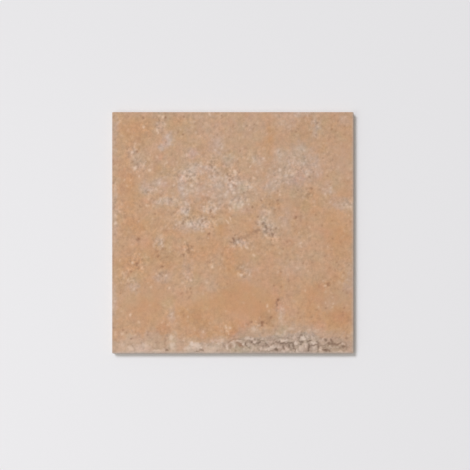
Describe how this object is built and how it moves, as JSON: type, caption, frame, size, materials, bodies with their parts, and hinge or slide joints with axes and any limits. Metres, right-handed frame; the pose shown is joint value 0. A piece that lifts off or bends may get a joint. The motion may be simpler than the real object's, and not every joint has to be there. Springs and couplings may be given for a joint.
{
  "type": "terracotta-look porcelain floor tile",
  "caption": "Square pressed porcelain floor tile with a matt worn-terracotta face, eased arrises, a drawn-in lower edge and a cell-ribbed back for adhesive.",
  "frame": {"origin": "centre of the plane that the back's rib tops lie in, which is the plane the tile rests and beds on", "axes": "+Z out of the worn face; +Y towards the edge that is uppermost when the crusted edge of the face is at the bottom; +X towards the right-hand edge, seen from in front of the face"},
  "size_m": [0.3, 0.3, 0.0095],
  "materials": {
    "fired_ceramic": "matt"
  },
  "bodies": {
    "root": {"tile": "fired_ceramic"}
  },
  "joints": []
}
